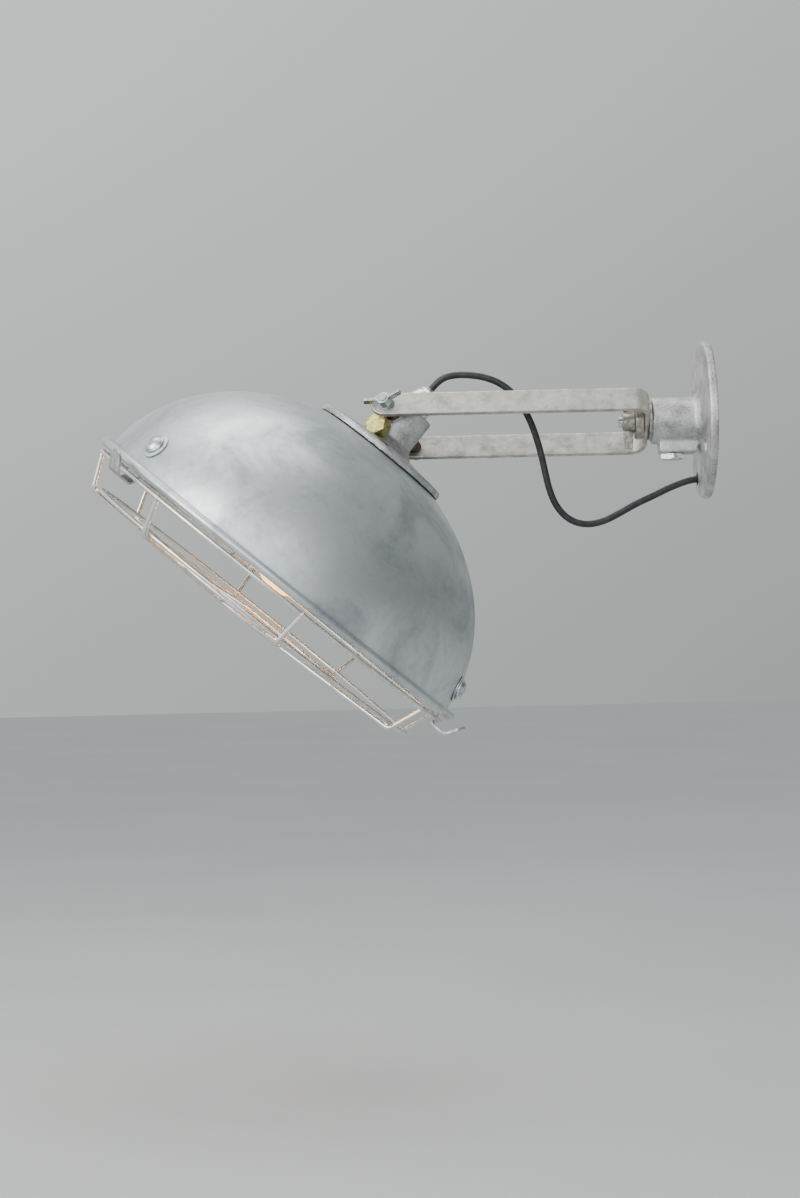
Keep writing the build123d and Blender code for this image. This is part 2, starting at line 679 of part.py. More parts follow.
def build_nodes():
    joint = split_point()
    nodes = {
        "wall_flange": placed(WALL, wall_flange()),
        "wall_set_screw": placed(WALL, wall_set_screw()),
        "cord_grommet": placed(WALL, cord_grommet()),
        "spigot_plug": placed(WALL, spigot_plug()),
        "arm_bolt": placed(WALL, arm_bolt()),
        "friction_washer": placed(WALL, friction_washer()),
        "arm_fork": arm_fork(),
        "clamp_washer": placed(WALL, clamp_washer()),
        "arm_wing_nut": placed(WALL, arm_wing_nut()),
        "pivot_bolt": placed(PIVOT, pivot_bolt()),
        "pivot_spacers": [pivot_spacer(-1), pivot_spacer(1)],
        "pivot_bevel_washers": [bevel_washer(-1), bevel_washer(1)],
        "pivot_wing_nut": placed(PIVOT, pivot_wing_nut()),
        "head_socket": head_socket(),
        "head_set_screw": placed(HEAD, head_set_screw()),
        "head_gasket": placed(HEAD, head_gasket()),
        "dome_shade": placed(HEAD, dome_shade()),
        "casting_screws": placed(HEAD, casting_screws()),
        "casting_nuts": placed(HEAD, casting_nuts()),
        "nipple_tube": placed(HEAD, nipple_tube()),
        "nipple_locknut": placed(HEAD, nipple_locknut()),
        "lampholder_body": placed(HEAD, lampholder_body()),
        "lampholder_shell": placed(HEAD, lampholder_shell()),
        "lampholder_contact": placed(HEAD, lampholder_contact()),
        "bulb_cap": placed(HEAD, bulb_cap()),
        "bulb_glass": placed(HEAD, bulb_glass()),
        "bulb_filament": placed(HEAD, bulb_filament()),
        "gland_body": placed(HEAD, gland_body()),
        "gland_nut": placed(HEAD, gland_nut()),
        "guard_hooks": placed(HEAD, guard_hooks()),
        "hook_screws": placed(HEAD, hook_screws()),
        "hook_washers": placed(HEAD, hook_washers()),
        "hook_nuts": placed(HEAD, hook_nuts()),
        "guard_top_ring": placed(HEAD, guard_ring(TOP_RING_R, TOP_RING_H)),
        "guard_low_ring": placed(HEAD, guard_ring(LOW_RING_R, LOW_RING_H)),
        "guard_inner_ring": placed(HEAD, guard_ring(INNER_RING_R, LOW_RING_H - 4.6)),
        "guard_centre_ring": placed(HEAD, guard_ring(CENTRE_RING_R, LOW_RING_H - 2 * WIRE_R - 6)),
        "guard_ribs": placed(HEAD, guard_ribs()),
        "cord_upper": cord_length(CORD_ROUTE[: CORD_SPLIT + 1] + [joint]),
        "cord_lower": cord_length([joint] + CORD_ROUTE[CORD_SPLIT + 1 :]),
    }
    return nodes


def main():
    os.makedirs("parts", exist_ok=True)
    for name, shape in build_nodes().items():
        pieces = shape if isinstance(shape, list) else [shape]
        solids = [solid for piece in pieces for solid in piece.solids()]
        export_step(solids[0] if len(solids) == 1 else Compound(solids), f"parts/{name}.step")


main()
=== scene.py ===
"""Swing arm wall sconce: the visible surfaces, cord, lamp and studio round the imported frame."""

from __future__ import annotations

import json
import logging
import math
import random
from collections.abc import Iterable, Sequence
from dataclasses import dataclass, field
from enum import Enum

import bmesh
import bpy
from mathutils import Matrix, Vector, noise

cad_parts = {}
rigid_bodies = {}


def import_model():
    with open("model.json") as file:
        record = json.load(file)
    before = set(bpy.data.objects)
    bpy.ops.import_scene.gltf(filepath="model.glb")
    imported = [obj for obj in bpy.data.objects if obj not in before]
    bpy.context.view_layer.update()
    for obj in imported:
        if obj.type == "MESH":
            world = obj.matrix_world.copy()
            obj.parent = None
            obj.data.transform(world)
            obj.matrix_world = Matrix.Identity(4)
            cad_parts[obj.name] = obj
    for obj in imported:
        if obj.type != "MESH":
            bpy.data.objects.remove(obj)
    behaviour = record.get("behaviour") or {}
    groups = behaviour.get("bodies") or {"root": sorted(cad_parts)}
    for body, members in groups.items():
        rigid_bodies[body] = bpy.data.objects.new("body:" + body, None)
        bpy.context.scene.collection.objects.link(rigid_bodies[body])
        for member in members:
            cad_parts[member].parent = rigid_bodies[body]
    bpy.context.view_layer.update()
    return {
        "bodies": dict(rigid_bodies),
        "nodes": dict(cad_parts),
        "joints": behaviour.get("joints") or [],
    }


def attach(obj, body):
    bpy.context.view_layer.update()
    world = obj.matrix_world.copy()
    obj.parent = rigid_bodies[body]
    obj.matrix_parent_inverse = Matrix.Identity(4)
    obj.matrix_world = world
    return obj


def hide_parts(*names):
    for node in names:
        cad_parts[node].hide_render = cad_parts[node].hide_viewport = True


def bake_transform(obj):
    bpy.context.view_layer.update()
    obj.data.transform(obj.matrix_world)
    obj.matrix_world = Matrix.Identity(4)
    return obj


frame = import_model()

log = logging.getLogger("sconce")
MM = 0.001
Point = tuple[float, float, float]
Ring = tuple[float, float]  # a radius from the head's axis and a height above the rim plane


class Body(Enum):
    """The rigid bodies of the lamp."""

    WALL = "wall"
    ARM = "arm"
    ARM_NUT = "arm_nut"
    PIVOT_NUT = "pivot_nut"
    HEAD = "head"


# ---- nodes and colours ---------------------------------------------------------------------------------


def linear(hex_colour: str) -> tuple[float, float, float, float]:
    """Turn an sRGB hex colour into linear light.

    Args:
        hex_colour: six hex digits, such as "c8ccce".

    Returns:
        Linear red, green and blue, and an alpha of 1.
    """
    parts = [int(hex_colour[i : i + 2], 16) / 255 for i in (0, 2, 4)]
    light = [p / 12.92 if p <= 0.04045 else ((p + 0.055) / 1.055) ** 2.4 for p in parts]
    return (*light, 1.0)


def per_metre(size_mm: float) -> float:
    """The texture scale that gives one feature every size_mm millimetres."""
    return 1.0 / (size_mm * MM)


def add_node(tree: bpy.types.NodeTree, kind: str, inputs: dict | None = None, **settings) -> bpy.types.Node:
    """Add a node, set its properties and fill or link its inputs.

    Args:
        tree: the node tree that gets the node.
        kind: the node's type name, such as "ShaderNodeTexNoise".
        inputs: input name or index to a value or to another node's output socket.
        settings: properties of the node itself.

    Returns:
        The new node.
    """
    node = tree.nodes.new(kind)
    for name, value in settings.items():
        setattr(node, name, value)
    for key, value in (inputs or {}).items():
        if isinstance(value, bpy.types.NodeSocket):
            tree.links.new(value, node.inputs[key])
        else:
            node.inputs[key].default_value = value
    return node


def set_stops(ramp: bpy.types.Node, stops: Sequence[tuple[float, str]]) -> bpy.types.NodeSocket:
    """Give a colour ramp its stops.

    Args:
        ramp: the colour ramp node.
        stops: position from 0 to 1 and sRGB hex colour, in rising order.

    Returns:
        The ramp's colour output.
    """
    elements = ramp.color_ramp.elements
    while len(elements) < len(stops):
        elements.new(0.5)
    for element, (position, colour) in zip(elements, stops):
        element.position = position
        element.color = linear(colour)
    return ramp.outputs["Color"]


# ---- finishes ------------------------------------------------------------------------------------------


@dataclass(frozen=True)
class Finish:
    """One real material with one surface: a name, and the typical values of its shader."""

    name: str
    slot: str
    metallic: float = 0.0
    roughness: float = 0.5

    def dress(self, tree: bpy.types.NodeTree, shader: bpy.types.Node, place: bpy.types.NodeSocket) -> None:
        """Add this finish's own nodes between its coordinates and its shader.

        Args:
            tree: the material's node tree.
            shader: its Principled BSDF.
            place: object coordinates in metres, in the lamp's frame.
        """
        raise NotImplementedError

    def material(self) -> bpy.types.Material:
        """The Blender material, made the first time it is asked for."""
        known = bpy.data.materials.get(self.name)
        if known is not None:
            return known
        made = bpy.data.materials.new(self.name)
        made.use_nodes = True
        tree = made.node_tree
        shader = tree.nodes["Principled BSDF"]
        shader.inputs["Metallic"].default_value = self.metallic
        shader.inputs["Roughness"].default_value = self.roughness
        coordinates = add_node(tree, "ShaderNodeTexCoord")
        self.dress(tree, shader, coordinates.outputs["Object"])
        return made


@dataclass(frozen=True)
class SandCastAluminium(Finish):
    """Aluminium cast in sand and left as it came out: a pitted, sparkling grey skin."""

    grain_mm: float = 1.3
    light: str = "c2c2c0"
    dark: str = "7f807f"

    def dress(self, tree: bpy.types.NodeTree, shader: bpy.types.Node, place: bpy.types.NodeSocket) -> None:
        """Sand grain as bump and sparkle, over broad cloudy staining.

        Args:
            tree: the material's node tree.
            shader: its Principled BSDF.
            place: object coordinates in metres, in the lamp's frame.
        """
        grain = add_node(
            tree,
            "ShaderNodeTexNoise",
            {"Vector": place, "Scale": per_metre(self.grain_mm), "Detail": 5.0, "Roughness": 0.62},
        )
        cloud = add_node(
            tree, "ShaderNodeTexNoise", {"Vector": place, "Scale": per_metre(22.0), "Detail": 4.0}
        )
        pits = add_node(
            tree, "ShaderNodeTexVoronoi", {"Vector": place, "Scale": per_metre(2.6), "Randomness": 1.0}
        )
        tone = add_node(
            tree, "ShaderNodeMath", {0: grain.outputs["Fac"], 1: cloud.outputs["Fac"]}, operation="ADD"
        )
        half = add_node(tree, "ShaderNodeMath", {0: tone.outputs[0], 1: 0.5}, operation="MULTIPLY")
        ramp = add_node(tree, "ShaderNodeValToRGB", {"Fac": half.outputs[0]})
        tree.links.new(
            set_stops(ramp, [(0.36, self.dark), (0.52, self.light), (0.64, "dededc")]),
            shader.inputs["Base Color"],
        )
        rough = add_node(
            tree,
            "ShaderNodeMapRange",
            {
                "Value": grain.outputs["Fac"],
                "From Min": 0.35,
                "From Max": 0.65,
                "To Min": 0.34,
                "To Max": 0.62,
            },
        )
        tree.links.new(rough.outputs["Result"], shader.inputs["Roughness"])
        pit_depth = add_node(
            tree,
            "ShaderNodeMapRange",
            {
                "Value": pits.outputs["Distance"],
                "From Min": 0.0,
                "From Max": 0.35,
                "To Min": 0.0,
                "To Max": 0.45,
            },
        )
        height = add_node(
            tree,
            "ShaderNodeMath",
            {0: grain.outputs["Fac"], 1: pit_depth.outputs["Result"]},
            operation="ADD",
        )
        bump = add_node(
            tree, "ShaderNodeBump", {"Height": height.outputs[0], "Strength": 0.55, "Distance": 0.5 * MM}
        )
        tree.links.new(bump.outputs["Normal"], shader.inputs["Normal"])


@dataclass(frozen=True)
class SpunAluminium(Finish):
    """Aluminium sheet spun on a lathe, then dulled by years of handling: satin, cloudy blue-grey."""

    light: str = "d6dadb"
    middle: str = "c2c7c9"
    dark: str = "a7adb0"
    origin: Point = (0.0, 0.0, 0.0)
    lean: float = 0.0
    line_mm: float = 1.6

    def dress(self, tree: bpy.types.NodeTree, shader: bpy.types.Node, place: bpy.types.NodeSocket) -> None:
        """Cloudy patina, small freckles, and faint rings left by the spinning tool.

        Args:
            tree: the material's node tree.
            shader: its Principled BSDF.
            place: object coordinates in metres, in the lamp's frame.
        """
        turned = add_node(
            tree,
            "ShaderNodeMapping",
            {"Vector": place, "Location": self.origin, "Rotation": (0.0, self.lean, 0.0)},
            vector_type="TEXTURE",
        )
        cloud = add_node(
            tree,
            "ShaderNodeTexNoise",
            {
                "Vector": turned.outputs[0],
                "Scale": per_metre(70.0),
                "Detail": 7.0,
                "Roughness": 0.58,
                "Distortion": 0.9,
            },
        )
        freckle = add_node(
            tree,
            "ShaderNodeTexNoise",
            {"Vector": turned.outputs[0], "Scale": per_metre(7.0), "Detail": 6.0, "Roughness": 0.7},
        )
        split = add_node(tree, "ShaderNodeSeparateXYZ", {0: turned.outputs[0]})
        stretch = add_node(
            tree,
            "ShaderNodeMath",
            {0: split.outputs["Z"], 1: per_metre(self.line_mm)},
            operation="MULTIPLY",
        )
        rings = add_node(
            tree,
            "ShaderNodeTexNoise",
            {"W": stretch.outputs[0], "Scale": 1.0, "Detail": 3.0, "Roughness": 0.6},
            noise_dimensions="1D",
        )
        speck = add_node(tree, "ShaderNodeMath", {0: freckle.outputs["Fac"], 1: 0.35}, operation="MULTIPLY")
        tone = add_node(
            tree, "ShaderNodeMath", {0: cloud.outputs["Fac"], 1: speck.outputs[0]}, operation="ADD"
        )
        ramp = add_node(tree, "ShaderNodeValToRGB", {"Fac": tone.outputs[0]})
        colour = set_stops(ramp, [(0.50, self.dark), (0.66, self.middle), (0.86, self.light)])
        tree.links.new(colour, shader.inputs["Base Color"])
        rough = add_node(
            tree,
            "ShaderNodeMapRange",
            {
                "Value": tone.outputs[0],
                "From Min": 0.5,
                "From Max": 0.86,
                "To Min": self.roughness + 0.10,
                "To Max": self.roughness - 0.07,
            },
        )
        tree.links.new(rough.outputs["Result"], shader.inputs["Roughness"])
        relief = add_node(tree, "ShaderNodeMath", {0: freckle.outputs["Fac"], 1: 0.6}, operation="MULTIPLY")
        height = add_node(
            tree, "ShaderNodeMath", {0: rings.outputs["Fac"], 1: relief.outputs[0]}, operation="ADD"
        )
        bump = add_node(
            tree,
            "ShaderNodeBump",
            {"Height": height.outputs[0], "Strength": 0.10, "Distance": 0.25 * MM},
        )
        tree.links.new(bump.outputs["Normal"], shader.inputs["Normal"])


@dataclass(frozen=True)
class GalvanisedSteel(Finish):
    """Flat bar dipped in zinc: pale warm grey, with soft crystal spangle and dull blooms."""

    spangle_mm: float = 5.0

    def dress(self, tree: bpy.types.NodeTree, shader: bpy.types.Node, place: bpy.types.NodeSocket) -> None:
        """Crystal cells that differ in brightness, over cloudy bloom and a slight orange-peel skin.

        Args:
            tree: the material's node tree.
            shader: its Principled BSDF.
            place: object coordinates in metres, in the lamp's frame.
        """
        warp = add_node(tree, "ShaderNodeTexNoise", {"Vector": place, "Scale": per_metre(4.0), "Detail": 3.0})
        bent = add_node(
            tree,
            "ShaderNodeVectorMath",
            {0: warp.outputs["Color"], 1: (2.5 * MM,) * 3},
            operation="MULTIPLY",
        )
        moved = add_node(tree, "ShaderNodeVectorMath", {0: place, 1: bent.outputs[0]}, operation="ADD")
        cells = add_node(
            tree,
            "ShaderNodeTexVoronoi",
            {"Vector": moved.outputs[0], "Scale": per_metre(self.spangle_mm)},
        )
        shade = add_node(tree, "ShaderNodeSeparateColor", {0: cells.outputs["Color"]})
        bloom = add_node(
            tree,
            "ShaderNodeTexNoise",
            {"Vector": place, "Scale": per_metre(14.0), "Detail": 6.0, "Roughness": 0.65},
        )
        part = add_node(tree, "ShaderNodeMath", {0: shade.outputs[0], 1: 0.16}, operation="MULTIPLY")
        tone = add_node(
            tree, "ShaderNodeMath", {0: bloom.outputs["Fac"], 1: part.outputs[0]}, operation="ADD"
        )
        ramp = add_node(tree, "ShaderNodeValToRGB", {"Fac": tone.outputs[0]})
        colour = set_stops(ramp, [(0.40, "a9a7a0"), (0.60, "c0beb7"), (0.82, "d2d0c9")])
        tree.links.new(colour, shader.inputs["Base Color"])
        rough = add_node(
            tree,
            "ShaderNodeMapRange",
            {"Value": tone.outputs[0], "From Min": 0.4, "From Max": 0.9, "To Min": 0.58, "To Max": 0.36},
        )
        tree.links.new(rough.outputs["Result"], shader.inputs["Roughness"])
        skin = add_node(tree, "ShaderNodeTexNoise", {"Vector": place, "Scale": per_metre(1.6), "Detail": 4.0})
        bump = add_node(
            tree,
            "ShaderNodeBump",
            {"Height": skin.outputs["Fac"], "Strength": 0.30, "Distance": 0.25 * MM},
        )
        tree.links.new(bump.outputs["Normal"], shader.inputs["Normal"])


@dataclass(frozen=True)
class PlatedSteel(Finish):
    """Turned, stamped or drawn metal with a thin plating: blotchy with age and worn a little rough."""

    light: str = "dde2e4"
    dark: str = "9da4a8"
    blotch_mm: float = 4.0
    grain_mm: float = 0.5
    relief: float = 0.12

    def dress(self, tree: bpy.types.NodeTree, shader: bpy.types.Node, place: bpy.types.NodeSocket) -> None:
        """Blotches in colour and gloss, and a fine grain.

        Args:
            tree: the material's node tree.
            shader: its Principled BSDF.
            place: object coordinates in metres, in the lamp's frame.
        """
        blotch = add_node(
            tree,
            "ShaderNodeTexNoise",
            {"Vector": place, "Scale": per_metre(self.blotch_mm), "Detail": 5.0, "Roughness": 0.65},
        )
        ramp = add_node(tree, "ShaderNodeValToRGB", {"Fac": blotch.outputs["Fac"]})
        tree.links.new(set_stops(ramp, [(0.36, self.dark), (0.62, self.light)]), shader.inputs["Base Color"])
        rough = add_node(
            tree,
            "ShaderNodeMapRange",
            {
                "Value": blotch.outputs["Fac"],
                "From Min": 0.35,
                "From Max": 0.65,
                "To Min": self.roughness + 0.12,
                "To Max": self.roughness - 0.05,
            },
        )
        tree.links.new(rough.outputs["Result"], shader.inputs["Roughness"])
        grain = add_node(
            tree,
            "ShaderNodeTexNoise",
            {"Vector": place, "Scale": per_metre(self.grain_mm), "Detail": 3.0},
        )
        bump = add_node(
            tree,
            "ShaderNodeBump",
            {"Height": grain.outputs["Fac"], "Strength": self.relief, "Distance": 0.2 * MM},
        )
        tree.links.new(bump.outputs["Normal"], shader.inputs["Normal"])


@dataclass(frozen=True)
class BlackRubber(Finish):
    """Vulcanised rubber: near black and matt, with a bloom of grey dust."""

    colour: str = "1b1b1d"
    dust: str = "3a3b3e"

    def dress(self, tree: bpy.types.NodeTree, shader: bpy.types.Node, place: bpy.types.NodeSocket) -> None:
        """Patches of dust, and the faint ripple of an extruded sheath.

        Args:
            tree: the material's node tree.
            shader: its Principled BSDF.
            place: object coordinates in metres, in the lamp's frame.
        """
        dust = add_node(
            tree,
            "ShaderNodeTexNoise",
            {"Vector": place, "Scale": per_metre(9.0), "Detail": 6.0, "Roughness": 0.7},
        )
        ramp = add_node(tree, "ShaderNodeValToRGB", {"Fac": dust.outputs["Fac"]})
        tree.links.new(set_stops(ramp, [(0.45, self.colour), (0.75, self.dust)]), shader.inputs["Base Color"])
        ripple = add_node(
            tree, "ShaderNodeTexNoise", {"Vector": place, "Scale": per_metre(1.1), "Detail": 3.0}
        )
        bump = add_node(
            tree,
            "ShaderNodeBump",
            {"Height": ripple.outputs["Fac"], "Strength": 0.15, "Distance": 0.2 * MM},
        )
        tree.links.new(bump.outputs["Normal"], shader.inputs["Normal"])


@dataclass(frozen=True)
class GlazedPorcelain(Finish):
    """Fired porcelain under clear glaze: cream white, glossy, with a few dark specks."""

    def dress(self, tree: bpy.types.NodeTree, shader: bpy.types.Node, place: bpy.types.NodeSocket) -> None:
        """Pin-prick specks in the body and a slightly wavy glaze.

        Args:
            tree: the material's node tree.
            shader: its Principled BSDF.
            place: object coordinates in metres, in the lamp's frame.
        """
        specks = add_node(tree, "ShaderNodeTexVoronoi", {"Vector": place, "Scale": per_metre(5.0)})
        ramp = add_node(tree, "ShaderNodeValToRGB", {"Fac": specks.outputs["Distance"]})
        tree.links.new(set_stops(ramp, [(0.03, "6f675c"), (0.07, "ece8de")]), shader.inputs["Base Color"])
        shader.inputs["Coat Weight"].default_value = 0.6
        wave = add_node(tree, "ShaderNodeTexNoise", {"Vector": place, "Scale": per_metre(12.0)})
        bump = add_node(
            tree,
            "ShaderNodeBump",
            {"Height": wave.outputs["Fac"], "Strength": 0.15, "Distance": 0.4 * MM},
        )
        tree.links.new(bump.outputs["Normal"], shader.inputs["Normal"])


@dataclass(frozen=True)
class LampGlass(Finish):
    """Blown soda-lime glass: clear, very thin, with the faint ripple of blowing."""

    def dress(self, tree: bpy.types.NodeTree, shader: bpy.types.Node, place: bpy.types.NodeSocket) -> None:
        """Clear transmission with a slight amber tint, filled with the filament's glow.

        Args:
            tree: the material's node tree.
            shader: its Principled BSDF.
            place: object coordinates in metres, in the lamp's frame.
        """
        shader.inputs["Transmission Weight"].default_value = 1.0
        shader.inputs["IOR"].default_value = 1.45
        tint = add_node(tree, "ShaderNodeTexNoise", {"Vector": place, "Scale": per_metre(30.0)})
        ramp = add_node(tree, "ShaderNodeValToRGB", {"Fac": tint.outputs["Fac"]})
        tree.links.new(set_stops(ramp, [(0.3, "fff0d8"), (0.7, "fff8ec")]), shader.inputs["Base Color"])
        shader.inputs["Emission Color"].default_value = linear("ffb95e")
        shader.inputs["Emission Strength"].default_value = 1.1
        bump = add_node(
            tree,
            "ShaderNodeBump",
            {"Height": tint.outputs["Fac"], "Strength": 0.1, "Distance": 0.3 * MM},
        )
        tree.links.new(bump.outputs["Normal"], shader.inputs["Normal"])


@dataclass(frozen=True)
class GlowingFilament(Finish):
    """Tungsten at working heat: a warm orange-yellow glow, a little uneven along the wire."""

    strength: float = 30.0

    def dress(self, tree: bpy.types.NodeTree, shader: bpy.types.Node, place: bpy.types.NodeSocket) -> None:
        """Emission that drifts between amber and yellow.

        Args:
            tree: the material's node tree.
            shader: its Principled BSDF.
            place: object coordinates in metres, in the lamp's frame.
        """
        heat = add_node(tree, "ShaderNodeTexNoise", {"Vector": place, "Scale": per_metre(8.0)})
        ramp = add_node(tree, "ShaderNodeValToRGB", {"Fac": heat.outputs["Fac"]})
        colour = set_stops(ramp, [(0.3, "ff9b30"), (0.7, "ffc468")])
        tree.links.new(colour, shader.inputs["Base Color"])
        tree.links.new(colour, shader.inputs["Emission Color"])
        shader.inputs["Emission Strength"].default_value = self.strength


@dataclass(frozen=True)
class PaintedFloor(Finish):
    """Matt paint on a smooth screed: pale grey, all but even."""

    def dress(self, tree: bpy.types.NodeTree, shader: bpy.types.Node, place: bpy.types.NodeSocket) -> None:
        """Very slight clouding.

        Args:
            tree: the material's node tree.
            shader: its Principled BSDF.
            place: object coordinates in metres, in the lamp's frame.
        """
        cloud = add_node(
            tree, "ShaderNodeTexNoise", {"Vector": place, "Scale": per_metre(500.0), "Detail": 3.0}
        )
        ramp = add_node(tree, "ShaderNodeValToRGB", {"Fac": cloud.outputs["Fac"]})
        tree.links.new(set_stops(ramp, [(0.3, "b3b6b6"), (0.7, "b8bbbb")]), shader.inputs["Base Color"])


# ---- the head's frame ----------------------------------------------------------------------------------


@dataclass(frozen=True)
class HeadFrame:
    """The shade's own frame: origin in the rim plane, local Z up the neck, azimuth 90 towards the viewer."""

    rise_deg: float = 50.0
    pivot_height: float = 186.4 * MM

    @property
    def lean(self) -> float:
        """The angle about +Y that turns world up into the head's axis."""
        return math.radians(90 - self.rise_deg)

    @property
    def origin(self) -> Vector:
        """The centre of the rim plane."""
        tilt = next(joint for joint in frame["joints"] if joint["name"] == "head_tilt")
        rise = math.radians(self.rise_deg)
        return Vector(tilt["pos_m"]) - Vector((math.cos(rise), 0, math.sin(rise))) * self.pivot_height

    @property
    def matrix(self) -> Matrix:
        """Local to world."""
        return Matrix.Translation(self.origin) @ Matrix.Rotation(self.lean, 4, "Y")

    def point(self, radius: float, height: float, azimuth_deg: float) -> Vector:
        """A world point from metres of radius and height and an azimuth.

        Args:
            radius: distance from the head's axis.
            height: height above the rim plane.
            azimuth_deg: 0 is down and towards the wall, 90 towards the viewer.

        Returns:
            The point in the lamp's frame.
        """
        angle = math.radians(-azimuth_deg)
        return self.matrix @ Vector((radius * math.cos(angle), radius * math.sin(angle), height))


HEAD = HeadFrame()


class Finishes:
    """Every finish on the lamp, named for its real material and surface."""

    # Pitted and sparkling, with no direction.
    cast = SandCastAluminium("sand_cast_aluminium", "cast_aluminium", metallic=1.0)
    # Soft, cloudy reflections that stretch round the dome.
    spun = SpunAluminium(
        "satin_spun_aluminium",
        "spun_aluminium",
        metallic=1.0,
        roughness=0.42,
        origin=tuple(HEAD.origin),
        lean=HEAD.lean,
    )
    # Painted light: paler and warmer than the outside, standing in for the bulb's warm glow on the inner
    # face.
    inside = SpunAluminium(
        "spun_aluminium_inside_painted_bulb_glow",
        "spun_aluminium",
        metallic=1.0,
        roughness=0.42,
        light="e4e3de",
        middle="d6d5d0",
        dark="bfbfba",
        origin=tuple(HEAD.origin),
        lean=HEAD.lean,
    )
    # Pale and warm, in soft crystals.
    galvanised = GalvanisedSteel("hot_dip_galvanised_steel", "galvanised_steel", metallic=1.0, roughness=0.45)
    # Bright and slightly blue, with sharp highlights.
    zinc = PlatedSteel("bright_zinc_plated_steel", "zinc_steel", metallic=1.0, roughness=0.24)
    # Plating gone grey and dull, with soft highlights.
    dull_zinc = PlatedSteel(
        "weathered_zinc_plated_steel",
        "dark_zinc",
        metallic=1.0,
        roughness=0.42,
        light="b9b4aa",
        dark="827d75",
    )
    # Straw yellow with green-gold patches, grainy to the touch.
    yellow = PlatedSteel(
        "yellow_passivated_steel",
        "yellow_zinc",
        metallic=1.0,
        roughness=0.40,
        light="d6c98a",
        dark="97914f",
        relief=0.4,
        grain_mm=0.9,
    )
    # Near black with a faint sheen.
    oxide = PlatedSteel(
        "black_oxidised_steel",
        "dark_steel",
        metallic=1.0,
        roughness=0.52,
        light="4a4542",
        dark="1f1d1d",
        relief=0.3,
        grain_mm=0.8,
    )
    # Even satin grey.
    spring = PlatedSteel(
        "satin_spring_steel", "spring_steel", metallic=1.0, roughness=0.33, light="d2d4d4", dark="a5a8a9"
    )
    # Brown-grey and dry, hardly shining.
    rusty = PlatedSteel(
        "lightly_rusted_steel",
        "dark_steel",
        metallic=1.0,
        roughness=0.6,
        light="8f7a68",
        dark="57473c",
        relief=0.3,
        grain_mm=0.8,
    )
    # Clean and bright, with a long thin highlight down each wire.
    wire = PlatedSteel(
        "bright_drawn_steel_wire",
        "guard_wire",
        metallic=1.0,
        roughness=0.28,
        light="eae9e5",
        dark="d0cfca",
        blotch_mm=12.0,
    )
    # The brightest metal here, almost white.
    turned = PlatedSteel(
        "bright_turned_aluminium",
        "turned_aluminium",
        metallic=1.0,
        roughness=0.30,
        light="f0f1f2",
        dark="d0d3d5",
        blotch_mm=6.0,
    )
    # Warm yellow, a little tarnished.
    brass = PlatedSteel("turned_brass", "brass", metallic=1.0, roughness=0.30, light="dcc27a", dark="a88a45")
    # Black with a soft grey highlight along it.
    flex = BlackRubber("black_rubber_flex", "cord_rubber", roughness=0.46, colour="1d1e20", dust="37393c")
    # Black and flat.
    rubber = BlackRubber("moulded_black_rubber", "rubber", roughness=0.6)
    # Cream white under a wet-looking glaze.
    porcelain = GlazedPorcelain("glazed_porcelain", "porcelain", roughness=0.14)
    # Clear, with a glow that fills it.
    glass = LampGlass("blown_lamp_glass", "bulb_glass", roughness=0.02)
    # A bright orange-yellow line.
    glow = GlowingFilament("glowing_tungsten", "filament", roughness=0.6)
    # Pale grey and matt.
    floor = PaintedFloor("pale_painted_screed", "floor", roughness=0.75)


# ---- mesh helpers --------------------------------------------------------------------------------------


def put(
    mesh: bpy.types.Mesh, name: str, body: Body, finish: Finish, stands_for: Iterable[str] = ()
) -> bpy.types.Object:
    """Make a mesh a piece of the lamp.

    Args:
        mesh: the mesh, in the lamp's frame, in metres.
        name: the piece's name.
        body: the body that it moves with.
        finish: its finish.
        stands_for: the CAD nodes that it replaces.

    Returns:
        The piece.
    """
    piece = bpy.data.objects.new(name, mesh)
    bpy.context.scene.collection.objects.link(piece)
    if not mesh.materials:
        mesh.materials.append(finish.material())
    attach(piece, body.value)
    nodes = list(stands_for)
    if nodes:
        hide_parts(*nodes)
    log.info("%s: %d faces on %s", name, len(mesh.polygons), body.value)
    return piece


def dress_nodes(finish: Finish, *names: str) -> None:
    """Give CAD nodes that keep their own shape their finish.

    Args:
        finish: what they are made of.
        names: the nodes.
    """
    for name in names:
        node = frame["nodes"][name]
        node.data.materials.clear()
        node.data.materials.append(finish.material())
        log.info("%s: %s", name, finish.name)


def smooth(mesh: bpy.types.Mesh, angle_deg: float = 35.0) -> bpy.types.Mesh:
    """Shade a mesh smooth except across sharp edges.

    Args:
        mesh: the mesh, changed in place.
        angle_deg: the angle between two faces above which their edge stays sharp.

    Returns:
        The same mesh.
    """
    limit = math.radians(angle_deg)
    made = bmesh.new()
    made.from_mesh(mesh)
    for face in made.faces:
        face.smooth = True
    for edge in made.edges:
        edge.smooth = not (edge.is_manifold and edge.calc_face_angle(0.0) > limit)
    made.to_mesh(mesh)
    made.free()
    return mesh


